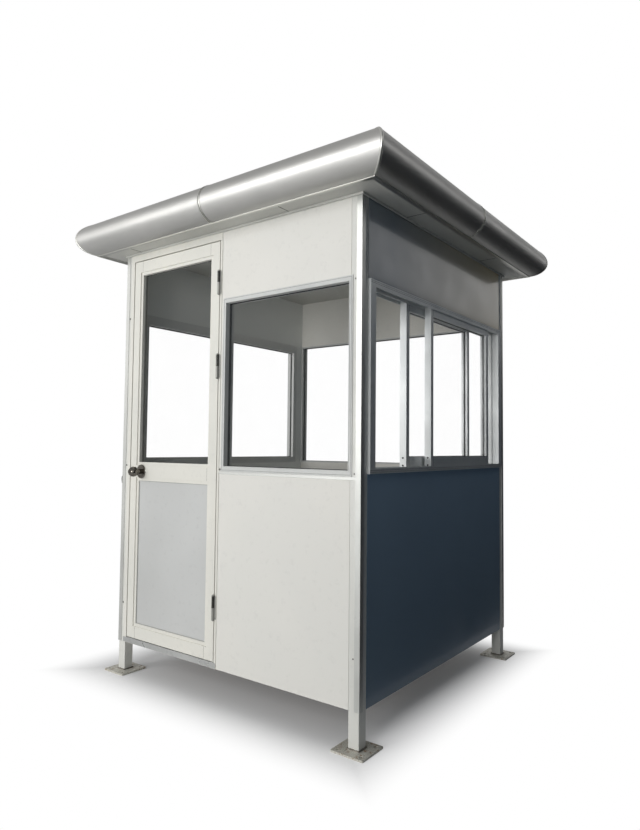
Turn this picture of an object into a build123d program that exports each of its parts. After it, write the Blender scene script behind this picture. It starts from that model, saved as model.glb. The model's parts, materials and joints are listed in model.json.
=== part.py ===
from build123d import *
from math import acos, asin, cos, degrees, sin
import os

os.makedirs("parts", exist_ok=True)

# A guard booth: a square hut of insulated panels on four legs, with a glazed
# door and a fixed window in front, a sliding window on the right, fixed
# windows behind and on the left, and a flat roof inside a half-round
# aluminium eave.
# Millimetres. +Z is up, the front faces -Y, and the origin is at ground
# level under the middle of the hut.

# Hut
body_width = 1500.0
body_depth = 1500.0
body_bottom = 152.0
wall_thick = 50.0

# Legs: square tubes that run up the corners as posts, each on a base plate
post_size = 50.0
post_wall = 3.0
plate_size = 150.0
plate_thick = 8.0
plate_hole_pitch = 108.0
plate_hole_dia = 14.0
plate_corner_radius = 6.0

# Angle trim outside each post
trim_width = 25.0
trim_thick = 3.0

# Floor
floor_beam_width = 50.0
floor_beam_height = 30.0
floor_beam_wall = 3.0
floor_thick = 18.0

# Window band and the wall above it
window_sill = 1060.0
window_height = 782.0
upper_panel_height = 336.0

# Door and its surround
door_opening_width = 645.0
door_opening_bottom = 178.0
door_header = 44.0
surround_jamb = 11.0
surround_post_jamb = 10.0
surround_face_thick = 3.0
surround_face_lap = 12.0
stop_reach = 12.0
door_thick = 40.0
door_gap = 5.0
door_gap_lock = 7.0
door_stile = 62.0
door_rail = 74.0
lock_rail = 95.0
lock_rail_height = 1031.0
bead_width = 16.0
bead_drop = 5.0
glass_bite = 8.0
glass_thick = 5.0
door_panel_thick = 20.0
door_glass_recess = 24.0
door_panel_recess = 10.0

# Door knob
knob_backset = 90.0
knob_ball_dia = 52.0
knob_reach = 74.0
knob_face_dia = 26.0
knob_neck_dia = 26.0
lock_bore_dia = 34.0
rose_dia = 70.0
rose_thick = 8.0
rose_edge = 3.0
knob_fit = 0.3

# Lift-off hinges
hinge_height = 105.0
top_hinge_drop = 198.0
middle_hinge_drop = 593.0
bottom_hinge_rise = 244.0
knuckle_dia = 13.0
knuckle_count = 2
knuckle_gap = 0.4
hinge_pin_dia = 7.0
pin_clearance = 0.3
barrel_proud = 8.0
leaf_thick = 2.0
leaf_depth = 35.0
leaf_clearance = 0.7
pin_head_dia = 9.0
pin_head_height = 3.0

# Fixed windows
flange_thick = 3.0
flange_lap = 10.0
fixed_jamb = 8.0
fixed_rail = 13.0
mullion_width = 23.0
fixed_glass_recess = 24.0
rear_head_rise = 30.0
back_window_jamb = 6.0
back_window_rail = 8.0
left_window_front = 28.0
left_window_back = 61.0
left_window_jamb = 30.0
left_window_rail = 37.0
left_window_top_rail = 52.0

# Sliding window
slider_depth = 85.0
slider_proud = 12.0
slider_jamb = 34.0
slider_sill = 22.0
slider_header = 28.0
slider_rib = 4.0
slider_rib_height = 12.0
sash_thick = 33.0
sash_stile = 28.0
sash_meeting_stile = 24.0
sash_rail = 56.0
sash_top_rail = 42.0
sash_width = 685.0
sash_glass_thick = 5.0
sash_top_clearance = 2.0
outer_sash_front = -164.0
inner_sash_front = -325.0

# Roof
roof_thick = 50.0
eave_side = 203.0
eave_front = 186.0
eave_half_width = 111.0
eave_half_height = 90.0
eave_centre_rise = 34.0
eave_sheet = 3.0
eave_lip_reach = 22.0
eave_top_flat = 23.0


window_head = window_sill + window_height
window_mid_height = (window_head + window_sill) / 2
rear_window_head = window_head + rear_head_rise
rear_window_height = window_height + rear_head_rise
rear_mid_height = (rear_window_head + window_sill) / 2
wall_top = window_head + upper_panel_height
door_opening_top = wall_top - door_header
half_x = body_width / 2
half_y = body_depth / 2
wall_x = half_x - trim_thick
wall_y = half_y - trim_thick
inner_x = wall_x - wall_thick
inner_y = wall_y - wall_thick
post_x = wall_x - post_size / 2
post_y = wall_y - post_size / 2
bay_x = wall_x - post_size
bay_y = wall_y - post_size
corners = {"front_left": (-1, -1), "front_right": (1, -1), "back_left": (-1, 1), "back_right": (1, 1)}


# Base plates, bolted to the ground at four holes
for corner, (side_x, side_y) in corners.items():
    with BuildPart() as base_plate:
        with BuildSketch(Plane.XY) as plate_outline:
            with Locations((side_x * post_x, side_y * post_y)):
                RectangleRounded(plate_size, plate_size, plate_corner_radius)
                with GridLocations(plate_hole_pitch, plate_hole_pitch, 2, 2):
                    Circle(plate_hole_dia / 2, mode=Mode.SUBTRACT)
        extrude(amount=plate_thick)
        chamfer(base_plate.faces().sort_by(Axis.Z)[-1].outer_wire().edges(), 1.0)
    base_plate.part.label = "base_plate_" + corner
    export_step(base_plate.part, "parts/base_plate_" + corner + ".step")

    # Corner post, from the plate up to the roof
    with BuildPart() as post:
        with BuildSketch(Plane.XY.offset(plate_thick)) as post_section:
            with Locations((side_x * post_x, side_y * post_y)):
                RectangleRounded(post_size, post_size, post_wall)
                Rectangle(post_size - 2 * post_wall, post_size - 2 * post_wall, mode=Mode.SUBTRACT)
        extrude(amount=wall_top - plate_thick)
    post.part.label = "post_" + corner
    export_step(post.part, "parts/post_" + corner + ".step")

    # Angle trim that covers the corner of the walls
    with BuildPart() as corner_trim:
        with BuildSketch(Plane.XY.offset(body_bottom)) as trim_section:
            with BuildLine() as trim_outline:
                Polyline(
                    (side_x * half_x, side_y * half_y),
                    (side_x * (half_x - trim_width), side_y * half_y),
                    (side_x * (half_x - trim_width), side_y * wall_y),
                    (side_x * wall_x, side_y * wall_y),
                    (side_x * wall_x, side_y * (half_y - trim_width)),
                    (side_x * half_x, side_y * (half_y - trim_width)),
                    close=True,
                )
            make_face()
        extrude(amount=wall_top - body_bottom)
    corner_trim.part.label = "corner_trim_" + corner
    export_step(corner_trim.part, "parts/corner_trim_" + corner + ".step")


# Floor frame of channel, open to the inside, and the floor board on it
floor_frame_top = body_bottom + floor_beam_height
with BuildPart() as floor_frame:
    with BuildSketch(Plane.XY.offset(body_bottom)):
        Rectangle(2 * inner_x, 2 * inner_y)
        Rectangle(2 * (inner_x - floor_beam_width), 2 * (inner_y - floor_beam_width), mode=Mode.SUBTRACT)
        with Locations((0, 0)):
            Rectangle(floor_beam_width, 2 * inner_y)
    extrude(amount=floor_beam_height)
    with BuildSketch(Plane.XY.offset(body_bottom + floor_beam_wall)):
        Rectangle(2 * (inner_x - floor_beam_wall), 2 * (inner_y - floor_beam_wall))
        Rectangle(floor_beam_wall, 2 * inner_y, mode=Mode.SUBTRACT)
    extrude(amount=floor_beam_height - 2 * floor_beam_wall, mode=Mode.SUBTRACT)
floor_frame.part.label = "floor_frame"
export_step(floor_frame.part, "parts/floor_frame.step")

floor_top = floor_frame_top + floor_thick
with BuildPart() as floor_panel:
    with BuildSketch(Plane.XY.offset(floor_frame_top)):
        Rectangle(2 * inner_x, 2 * inner_y)
    extrude(amount=floor_thick)
floor_panel.part.label = "floor_panel"
export_step(floor_panel.part, "parts/floor_panel.step")


# Door surround: jambs, head and threshold in one welded frame, with a stop
# behind the leaf and a thin face that laps the post
surround_left = -bay_x
door_opening_left = surround_left + surround_post_jamb
door_opening_right = door_opening_left + door_opening_width
surround_right = door_opening_right + surround_jamb
door_front = wall_y + surround_face_thick
door_back = door_front - door_thick
stop_face = door_back - door_gap
with BuildPart() as door_surround:
    with BuildSketch(Plane.XZ.offset(inner_y)):
        with Locations(((surround_left + surround_right) / 2, (body_bottom + wall_top) / 2)):
            Rectangle(surround_right - surround_left, wall_top - body_bottom)
    extrude(amount=wall_thick)
    with BuildSketch(Plane.XZ.offset(wall_y)):
        face_left = surround_left - surround_face_lap
        with Locations(((face_left + surround_right) / 2, (body_bottom + wall_top) / 2)):
            Rectangle(surround_right - face_left, wall_top - body_bottom)
    extrude(amount=surround_face_thick)
    opening_middle = (door_opening_left + door_opening_right) / 2
    opening_mid_height = (door_opening_bottom + door_opening_top) / 2
    with BuildSketch(Plane.XZ.offset(stop_face)):
        with Locations((opening_middle, opening_mid_height)):
            Rectangle(door_opening_width, door_opening_top - door_opening_bottom)
    extrude(amount=wall_thick, mode=Mode.SUBTRACT)
    with BuildSketch(Plane.XZ.offset(inner_y)):
        stop_bottom = floor_top
        stop_top = door_opening_top - stop_reach
        with Locations((opening_middle, (stop_bottom + stop_top) / 2)):
            Rectangle(door_opening_width - 2 * stop_reach, stop_top - stop_bottom)
    extrude(amount=wall_thick, mode=Mode.SUBTRACT)
door_surround.part.label = "door_surround"
export_step(door_surround.part, "parts/door_surround.step")


# Front wall beside the door: one panel below the window, one over it that
# also carries the narrow mullion down to the sill
with BuildPart() as front_lower_panel:
    with BuildSketch(Plane.XZ.offset(inner_y)):
        with Locations(((surround_right + bay_x) / 2, (body_bottom + window_sill) / 2)):
            Rectangle(bay_x - surround_right, window_sill - body_bottom)
    extrude(amount=wall_thick)
front_lower_panel.part.label = "front_lower_panel"
export_step(front_lower_panel.part, "parts/front_lower_panel.step")

mullion_right = surround_right + mullion_width
with BuildPart() as front_upper_panel:
    with BuildSketch(Plane.XZ.offset(inner_y)):
        with BuildLine():
            Polyline(
                (surround_right, window_sill),
                (mullion_right, window_sill),
                (mullion_right, window_head),
                (bay_x, window_head),
                (bay_x, wall_top),
                (surround_right, wall_top),
                close=True,
            )
        make_face()
    extrude(amount=wall_thick)
front_upper_panel.part.label = "front_upper_panel"
export_step(front_upper_panel.part, "parts/front_upper_panel.step")


# Fixed front window: slim frame with a flange that laps the wall, one pane
front_window_width = bay_x - mullion_right
front_window_middle = (bay_x + mullion_right) / 2
with BuildPart() as front_window_frame:
    with BuildSketch(Plane.XZ.offset(inner_y)):
        with Locations((front_window_middle, window_mid_height)):
            Rectangle(front_window_width, window_height)
    extrude(amount=wall_thick)
    with BuildSketch(Plane.XZ.offset(wall_y)):
        with Locations((front_window_middle, window_mid_height)):
            Rectangle(front_window_width + 2 * flange_lap, window_height + 2 * flange_lap)
    extrude(amount=flange_thick)
    with BuildSketch(Plane.XZ.offset(inner_y)):
        with Locations((front_window_middle, window_mid_height)):
            Rectangle(front_window_width - 2 * fixed_jamb, window_height - 2 * fixed_rail)
    extrude(amount=wall_thick + flange_thick, mode=Mode.SUBTRACT)
    with BuildSketch(Plane.XZ.offset(wall_y - fixed_glass_recess - glass_thick)):
        with Locations((front_window_middle, window_mid_height)):
            Rectangle(front_window_width - fixed_jamb, window_height - fixed_rail)
    extrude(amount=glass_thick, mode=Mode.SUBTRACT)
front_window_frame.part.label = "front_window_frame"
export_step(front_window_frame.part, "parts/front_window_frame.step")

with BuildPart() as front_window_glass:
    with BuildSketch(Plane.XZ.offset(wall_y - fixed_glass_recess - glass_thick)):
        with Locations((front_window_middle, window_mid_height)):
            Rectangle(front_window_width - fixed_jamb, window_height - fixed_rail)
    extrude(amount=glass_thick)
front_window_glass.part.label = "front_window_glass"
export_step(front_window_glass.part, "parts/front_window_glass.step")


# Back wall: a panel below and one above a fixed window as wide as the bay.
# The heads of the back and left windows stand a little over the others.
with BuildPart() as back_lower_panel:
    with BuildSketch(Plane.XZ.offset(-wall_y)):
        with Locations((0, (body_bottom + window_sill) / 2)):
            Rectangle(2 * bay_x, window_sill - body_bottom)
    extrude(amount=wall_thick)
back_lower_panel.part.label = "back_lower_panel"
export_step(back_lower_panel.part, "parts/back_lower_panel.step")

with BuildPart() as back_upper_panel:
    with BuildSketch(Plane.XZ.offset(-wall_y)):
        with Locations((0, (rear_window_head + wall_top) / 2)):
            Rectangle(2 * bay_x, wall_top - rear_window_head)
    extrude(amount=wall_thick)
back_upper_panel.part.label = "back_upper_panel"
export_step(back_upper_panel.part, "parts/back_upper_panel.step")

with BuildPart() as back_window_frame:
    with BuildSketch(Plane.XZ.offset(-wall_y)):
        with Locations((0, rear_mid_height)):
            Rectangle(2 * bay_x, rear_window_height)
    extrude(amount=wall_thick)
    with BuildSketch(Plane.XZ.offset(-wall_y - flange_thick)):
        with Locations((0, rear_mid_height)):
            Rectangle(2 * (bay_x + flange_lap), rear_window_height + 2 * flange_lap)
    extrude(amount=flange_thick)
    with BuildSketch(Plane.XZ.offset(-wall_y - flange_thick)):
        with Locations((0, rear_mid_height)):
            Rectangle(2 * (bay_x - back_window_jamb), rear_window_height - 2 * back_window_rail)
    extrude(amount=wall_thick + flange_thick, mode=Mode.SUBTRACT)
    with BuildSketch(Plane.XZ.offset(-wall_y + fixed_glass_recess)):
        with Locations((0, rear_mid_height)):
            Rectangle(2 * bay_x - back_window_jamb, rear_window_height - back_window_rail)
    extrude(amount=glass_thick, mode=Mode.SUBTRACT)
back_window_frame.part.label = "back_window_frame"
export_step(back_window_frame.part, "parts/back_window_frame.step")

with BuildPart() as back_window_glass:
    with BuildSketch(Plane.XZ.offset(-wall_y + fixed_glass_recess)):
        with Locations((0, rear_mid_height)):
            Rectangle(2 * bay_x - back_window_jamb, rear_window_height - back_window_rail)
    extrude(amount=glass_thick)
back_window_glass.part.label = "back_window_glass"
export_step(back_window_glass.part, "parts/back_window_glass.step")


# Left wall, one panel with a fixed window in a broader frame
left_window_width = 2 * bay_y - left_window_front - left_window_back
left_window_middle = (left_window_front - left_window_back) / 2
left_pane_width = left_window_width - 2 * left_window_jamb
left_pane_height = rear_window_height - left_window_rail - left_window_top_rail
left_pane_mid_height = rear_mid_height + (left_window_rail - left_window_top_rail) / 2
with BuildPart() as left_wall:
    with BuildSketch(Plane.YZ.offset(-wall_x)):
        with Locations((0, (body_bottom + wall_top) / 2)):
            Rectangle(2 * bay_y, wall_top - body_bottom)
        with Locations((left_window_middle, rear_mid_height)):
            Rectangle(left_window_width, rear_window_height, mode=Mode.SUBTRACT)
    extrude(amount=wall_thick)
left_wall.part.label = "left_wall"
export_step(left_wall.part, "parts/left_wall.step")

with BuildPart() as left_window_frame:
    with BuildSketch(Plane.YZ.offset(-wall_x)):
        with Locations((left_window_middle, rear_mid_height)):
            Rectangle(left_window_width, rear_window_height)
    extrude(amount=wall_thick)
    with BuildSketch(Plane.YZ.offset(-wall_x - flange_thick)):
        with Locations((left_window_middle, rear_mid_height)):
            Rectangle(left_window_width + 2 * flange_lap, rear_window_height + 2 * flange_lap)
    extrude(amount=flange_thick)
    with BuildSketch(Plane.YZ.offset(-wall_x - flange_thick)):
        with Locations((left_window_middle, left_pane_mid_height)):
            Rectangle(left_pane_width, left_pane_height)
    extrude(amount=wall_thick + flange_thick, mode=Mode.SUBTRACT)
    with BuildSketch(Plane.YZ.offset(-wall_x + fixed_glass_recess)):
        with Locations((left_window_middle, left_pane_mid_height)):
            Rectangle(left_pane_width + 2 * glass_bite, left_pane_height + 2 * glass_bite)
    extrude(amount=glass_thick, mode=Mode.SUBTRACT)
left_window_frame.part.label = "left_window_frame"
export_step(left_window_frame.part, "parts/left_window_frame.step")

with BuildPart() as left_window_glass:
    with BuildSketch(Plane.YZ.offset(-wall_x + fixed_glass_recess)):
        with Locations((left_window_middle, left_pane_mid_height)):
            Rectangle(left_pane_width + 2 * glass_bite, left_pane_height + 2 * glass_bite)
    extrude(amount=glass_thick)
left_window_glass.part.label = "left_window_glass"
export_step(left_window_glass.part, "parts/left_window_glass.step")


# Right wall: a panel below and one above a full-width sliding window, which
# stands part open at both ends
with BuildPart() as right_lower_panel:
    with BuildSketch(Plane.YZ.offset(inner_x)):
        with Locations((0, (body_bottom + window_sill) / 2)):
            Rectangle(2 * bay_y, window_sill - body_bottom)
    extrude(amount=wall_thick)
right_lower_panel.part.label = "right_lower_panel"
export_step(right_lower_panel.part, "parts/right_lower_panel.step")

with BuildPart() as right_upper_panel:
    with BuildSketch(Plane.YZ.offset(inner_x)):
        with Locations((0, (window_head + wall_top) / 2)):
            Rectangle(2 * bay_y, wall_top - window_head)
    extrude(amount=wall_thick)
right_upper_panel.part.label = "right_upper_panel"
export_step(right_upper_panel.part, "parts/right_upper_panel.step")

# Frame with two tracks between three ribs, above and below
track_depth = (slider_depth - 3 * slider_rib) / 2
sash_bottom = window_sill + slider_sill - slider_rib_height
sash_top = window_head - slider_header + slider_rib_height
track_top = sash_top + sash_top_clearance
clear_half = bay_y - slider_jamb
slider_x = wall_x + slider_proud - slider_depth / 2
outer_track_x = slider_x + slider_rib / 2 + track_depth / 2
inner_track_x = slider_x - slider_rib / 2 - track_depth / 2
with BuildPart() as right_window_frame:
    with BuildSketch(Plane.YZ.offset(slider_x)):
        with Locations((0, window_mid_height)):
            Rectangle(2 * bay_y, window_height)
        with Locations((0, window_mid_height + (slider_sill - slider_header) / 2)):
            Rectangle(2 * clear_half, window_height - slider_sill - slider_header, mode=Mode.SUBTRACT)
    extrude(amount=slider_depth / 2, both=True)
    for track_x in (outer_track_x, inner_track_x):
        with BuildSketch(Plane.YZ.offset(track_x)):
            with Locations((0, (sash_bottom + track_top) / 2)):
                Rectangle(2 * clear_half, track_top - sash_bottom)
        extrude(amount=track_depth / 2, both=True, mode=Mode.SUBTRACT)
right_window_frame.part.label = "right_window_frame"
export_step(right_window_frame.part, "parts/right_window_frame.step")

# Two sashes: the wider stile is at the jamb end, the slim one meets the other
# sash, the bottom rail is deeper than the top one, and each pane sits in its
# frame
sashes = {
    "outer": (outer_track_x, outer_sash_front, 1),
    "inner": (inner_track_x, inner_sash_front, -1),
}
for place, (track_x, front_end, wide_end) in sashes.items():
    pane_middle = front_end + sash_width / 2 - wide_end * (sash_stile - sash_meeting_stile) / 2
    pane_width = sash_width - sash_stile - sash_meeting_stile
    pane_height = sash_top - sash_bottom - sash_rail - sash_top_rail
    pane_mid_height = (sash_top + sash_bottom + sash_rail - sash_top_rail) / 2
    with BuildPart() as sash:
        with BuildSketch(Plane.YZ.offset(track_x)):
            with Locations((front_end + sash_width / 2, (sash_top + sash_bottom) / 2)):
                Rectangle(sash_width, sash_top - sash_bottom)
            with Locations((pane_middle, pane_mid_height)):
                Rectangle(pane_width, pane_height, mode=Mode.SUBTRACT)
        extrude(amount=sash_thick / 2, both=True)
        with BuildSketch(Plane.YZ.offset(track_x)):
            with Locations((pane_middle, pane_mid_height)):
                Rectangle(pane_width + 2 * glass_bite, pane_height + 2 * glass_bite)
        extrude(amount=sash_glass_thick / 2, both=True, mode=Mode.SUBTRACT)
    sash.part.label = "right_" + place + "_sash"
    export_step(sash.part, "parts/right_" + place + "_sash.step")

    with BuildPart() as pane:
        with BuildSketch(Plane.YZ.offset(track_x)):
            with Locations((pane_middle, pane_mid_height)):
                Rectangle(pane_width + 2 * glass_bite, pane_height + 2 * glass_bite)
        extrude(amount=sash_glass_thick / 2, both=True)
    pane.part.label = "right_" + place + "_pane"
    export_step(pane.part, "parts/right_" + place + "_pane.step")


# Door leaf: aluminium stiles and rails round a pane above and a flat panel
# below. A bead, set back from the face on both sides, frames each opening.
leaf_left = door_opening_left + door_gap_lock
leaf_right = door_opening_right - door_gap
leaf_bottom = door_opening_bottom + door_gap
leaf_top = door_opening_top - door_gap
leaf_middle = (leaf_left + leaf_right) / 2
infill_width = leaf_right - leaf_left - 2 * door_stile
pane_bottom = lock_rail_height + lock_rail / 2
pane_top = leaf_top - door_rail
kick_bottom = leaf_bottom + door_rail
kick_top = lock_rail_height - lock_rail / 2
door_infills = ((pane_bottom, pane_top), (kick_bottom, kick_top))
knob_x = leaf_left + knob_backset
with BuildPart() as door_frame:
    with BuildSketch(Plane.XZ.offset(door_back)):
        with Locations((leaf_middle, (leaf_bottom + leaf_top) / 2)):
            Rectangle(leaf_right - leaf_left, leaf_top - leaf_bottom)
        for low, high in door_infills:
            with Locations((leaf_middle, (low + high) / 2)):
                Rectangle(infill_width, high - low, mode=Mode.SUBTRACT)
        with Locations((knob_x, lock_rail_height)):
            Circle(lock_bore_dia / 2, mode=Mode.SUBTRACT)
    extrude(amount=door_thick)
    for bead_plane in (door_back, door_front - bead_drop):
        with BuildSketch(Plane.XZ.offset(bead_plane)):
            for low, high in door_infills:
                with Locations((leaf_middle, (low + high) / 2)):
                    Rectangle(infill_width + 2 * bead_width, high - low + 2 * bead_width)
        extrude(amount=bead_drop, mode=Mode.SUBTRACT)
    with BuildSketch(Plane.XZ.offset(door_front - door_glass_recess - glass_thick)):
        with Locations((leaf_middle, (pane_bottom + pane_top) / 2)):
            Rectangle(infill_width + 2 * glass_bite, pane_top - pane_bottom + 2 * glass_bite)
    extrude(amount=glass_thick, mode=Mode.SUBTRACT)
    with BuildSketch(Plane.XZ.offset(door_front - door_panel_recess - door_panel_thick)):
        with Locations((leaf_middle, (kick_bottom + kick_top) / 2)):
            Rectangle(infill_width + 2 * glass_bite, kick_top - kick_bottom + 2 * glass_bite)
    extrude(amount=door_panel_thick, mode=Mode.SUBTRACT)
door_frame.part.label = "door_frame"
export_step(door_frame.part, "parts/door_frame.step")

with BuildPart() as door_glass:
    with BuildSketch(Plane.XZ.offset(door_front - door_glass_recess - glass_thick)):
        with Locations((leaf_middle, (pane_bottom + pane_top) / 2)):
            Rectangle(infill_width + 2 * glass_bite, pane_top - pane_bottom + 2 * glass_bite)
    extrude(amount=glass_thick)
door_glass.part.label = "door_glass"
export_step(door_glass.part, "parts/door_glass.step")

with BuildPart() as door_panel:
    with BuildSketch(Plane.XZ.offset(door_front - door_panel_recess - door_panel_thick)):
        with Locations((leaf_middle, (kick_bottom + kick_top) / 2)):
            Rectangle(infill_width + 2 * glass_bite, kick_top - kick_bottom + 2 * glass_bite)
    extrude(amount=door_panel_thick)
door_panel.part.label = "door_panel"
export_step(door_panel.part, "parts/door_panel.step")


# Lock: a sleeve through the lock rail with a rose against each face, and a
# knob with a ball at both ends that turns in the sleeve. Both are turned
# about the line across the middle of the door's thickness.
knob_centre = (knob_x, -(door_front + door_back) / 2, lock_rail_height)
knob_plane = Plane(origin=knob_centre, x_dir=(0, 0, 1), z_dir=(1, 0, 0))
knob_axis = Axis(knob_centre, (0, 1, 0))
sleeve_outer = lock_bore_dia / 2 - knob_fit / 2
sleeve_inner = knob_neck_dia / 2 + knob_fit
rose_face = door_thick / 2 + rose_thick
with BuildPart() as door_lock:
    with BuildSketch(knob_plane):
        with BuildLine():
            Polyline(
                (sleeve_inner, -rose_face),
                (rose_dia / 2 - rose_edge, -rose_face),
                (rose_dia / 2, -rose_face + rose_edge),
                (rose_dia / 2, -door_thick / 2),
                (sleeve_outer, -door_thick / 2),
                (sleeve_outer, door_thick / 2),
                (rose_dia / 2, door_thick / 2),
                (rose_dia / 2, rose_face - rose_edge),
                (rose_dia / 2 - rose_edge, rose_face),
                (sleeve_inner, rose_face),
                close=True,
            )
        make_face()
    revolve(axis=knob_axis)
door_lock.part.label = "door_lock"
export_step(door_lock.part, "parts/door_lock.step")

ball_radius = knob_ball_dia / 2
neck_radius = knob_neck_dia / 2
face_radius = knob_face_dia / 2
ball_centre = door_thick / 2 + knob_reach - (ball_radius ** 2 - face_radius ** 2) ** 0.5
ball_back = ball_centre - (ball_radius ** 2 - neck_radius ** 2) ** 0.5
ball_front = door_thick / 2 + knob_reach
with BuildPart() as door_knob:
    with BuildSketch(knob_plane):
        with BuildLine():
            Polyline((0, ball_front), (0, -ball_front), (face_radius, -ball_front))
            ThreePointArc((face_radius, -ball_front), (ball_radius, -ball_centre), (neck_radius, -ball_back))
            Line((neck_radius, -ball_back), (neck_radius, ball_back))
            ThreePointArc((neck_radius, ball_back), (ball_radius, ball_centre), (face_radius, ball_front))
            Line((face_radius, ball_front), (0, ball_front))
        make_face()
    revolve(axis=knob_axis)
door_knob.part.label = "door_knob"
export_step(door_knob.part, "parts/door_knob.step")


# Three lift-off hinges. The leaf on the jamb has the lower knuckle and the
# pin, the leaf on the door has the upper one. The barrel stands in front of
# the gap, so that the door swings outwards.
hinge_x = door_opening_right - door_gap / 2
hinge_y = -(door_front + barrel_proud)
knuckle_radius = knuckle_dia / 2
knuckle_height = (hinge_height - (knuckle_count - 1) * knuckle_gap) / knuckle_count
knuckle_pitch = knuckle_height + knuckle_gap
leaf_start = hinge_y + knuckle_radius + leaf_clearance
hinge_heights = {
    "top": leaf_top - top_hinge_drop,
    "middle": leaf_top - middle_hinge_drop,
    "bottom": leaf_bottom + bottom_hinge_rise,
}
for place, hinge_middle in hinge_heights.items():
    hinge_bottom = hinge_middle - hinge_height / 2
    for owner, first, leaf_x in (
        ("jamb", 0, door_opening_right - leaf_thick / 2),
        ("door", 1, leaf_right + leaf_thick / 2),
    ):
        with BuildPart() as hinge_leaf:
            with BuildSketch(Plane.XY.offset(hinge_bottom)):
                with Locations((leaf_x, leaf_start + leaf_depth / 2)):
                    Rectangle(leaf_thick, leaf_depth)
            extrude(amount=hinge_height)
            for knuckle in range(first, knuckle_count, 2):
                with BuildSketch(Plane.XY.offset(hinge_bottom + knuckle * knuckle_pitch)):
                    with Locations((hinge_x, hinge_y)):
                        Circle(knuckle_radius)
                    with Locations((leaf_x, (hinge_y + leaf_start) / 2)):
                        Rectangle(leaf_thick, leaf_start - hinge_y)
                extrude(amount=knuckle_height)
            if owner == "door":
                with BuildSketch(Plane.XY.offset(hinge_bottom)):
                    with Locations((hinge_x, hinge_y)):
                        Circle(hinge_pin_dia / 2 + pin_clearance)
                extrude(amount=hinge_height, mode=Mode.SUBTRACT)
            else:
                with BuildSketch(Plane.XY.offset(hinge_bottom)):
                    with Locations((hinge_x, hinge_y)):
                        Circle(hinge_pin_dia / 2)
                extrude(amount=hinge_height)
                with BuildSketch(Plane.XY.offset(hinge_bottom - pin_head_height)):
                    with Locations((hinge_x, hinge_y)):
                        Circle(pin_head_dia / 2)
                extrude(amount=pin_head_height)
                with BuildSketch(Plane.XY.offset(hinge_bottom + hinge_height)):
                    with Locations((hinge_x, hinge_y)):
                        Circle(pin_head_dia / 2)
                extrude(amount=pin_head_height)
        hinge_leaf.part.label = "hinge_" + place + "_" + owner + "_leaf"
        export_step(hinge_leaf.part, "parts/hinge_" + place + "_" + owner + "_leaf.step")


# Roof panel: it lies on the walls, is the ceiling inside and the soffit
# outside, and carries the eave round its edge
outer_x = half_x + eave_side
outer_y = half_y + eave_front
panel_top = wall_top + roof_thick
eave_centre_height = panel_top + eave_centre_rise
lip_height = wall_top - eave_sheet
lip_angle = asin((eave_centre_height - lip_height) / eave_half_height)
lip_place = eave_half_width * cos(lip_angle)
panel_inset = eave_half_width - lip_place
with BuildPart() as roof_panel:
    with BuildSketch(Plane.XY.offset(wall_top)):
        Rectangle(2 * (outer_x - panel_inset), 2 * (outer_y - panel_inset))
    extrude(amount=roof_thick)
roof_panel.part.label = "roof_panel"
export_step(roof_panel.part, "parts/roof_panel.step")


# Eave: a hollow half-round extrusion on each side. Its lip laps under the
# roof panel, its foot stands on the panel, and its ends are mitred.
eave_top = eave_centre_height + eave_half_height
hollow_left = eave_sheet - eave_top_flat
hollow_foot = panel_top + eave_sheet
hollow_top = eave_top - eave_sheet
with BuildSketch() as eave_section:
    with BuildLine():
        EllipticalCenterArc(
            (0, eave_centre_height), eave_half_width, eave_half_height,
            start_angle=-degrees(lip_angle), arc_size=degrees(lip_angle) + 90,
        )
        Polyline(
            (0, eave_top),
            (-eave_top_flat, eave_top),
            (-eave_top_flat, panel_top),
            (lip_place, panel_top),
            (lip_place, wall_top),
            (lip_place - eave_lip_reach, wall_top),
            (lip_place - eave_lip_reach, lip_height),
            (lip_place, lip_height),
        )
    make_face()
    with BuildLine():
        hollow_reach = eave_half_width - eave_sheet
        hollow_rise = eave_half_height - eave_sheet
        side_reach = lip_place + eave_sheet
        side_angle = acos(side_reach / hollow_reach)
        side_foot = eave_centre_height - hollow_rise * sin(side_angle)
        EllipticalCenterArc(
            (0, eave_centre_height), hollow_reach, hollow_rise,
            start_angle=-degrees(side_angle), arc_size=degrees(side_angle) + 90,
        )
        Polyline(
            (0, hollow_top),
            (hollow_left, hollow_top),
            (hollow_left, hollow_foot),
            (side_reach, hollow_foot),
            (side_reach, side_foot),
        )
    make_face(mode=Mode.SUBTRACT)

eave_sides = {
    "front": ((0, -1, 0), outer_y, outer_x),
    "back": ((0, 1, 0), outer_y, outer_x),
    "left": ((-1, 0, 0), outer_x, outer_y),
    "right": ((1, 0, 0), outer_x, outer_y),
}
for place, (outward, reach, half_length) in eave_sides.items():
    out = Vector(outward)
    along = out.cross(Vector(0, 0, 1))
    section_plane = Plane(origin=out * (reach - eave_half_width), x_dir=out, z_dir=along)
    with BuildPart() as eave:
        with BuildSketch(section_plane):
            add(eave_section.sketch)
        extrude(amount=half_length, both=True)
        for end in (1, -1):
            mitre_normal = along * end - out
            mitre_origin = out * reach + along * (end * half_length)
            split(bisect_by=Plane(origin=mitre_origin, z_dir=mitre_normal), keep=Keep.BOTTOM)
    eave.part.label = "eave_" + place
    export_step(eave.part, "parts/eave_" + place + ".step")
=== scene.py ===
"""Look of the guard booth: finishes, small fittings, floor, light and camera."""

import json
import math

import bmesh
import bpy
from mathutils import Matrix, Vector


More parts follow.
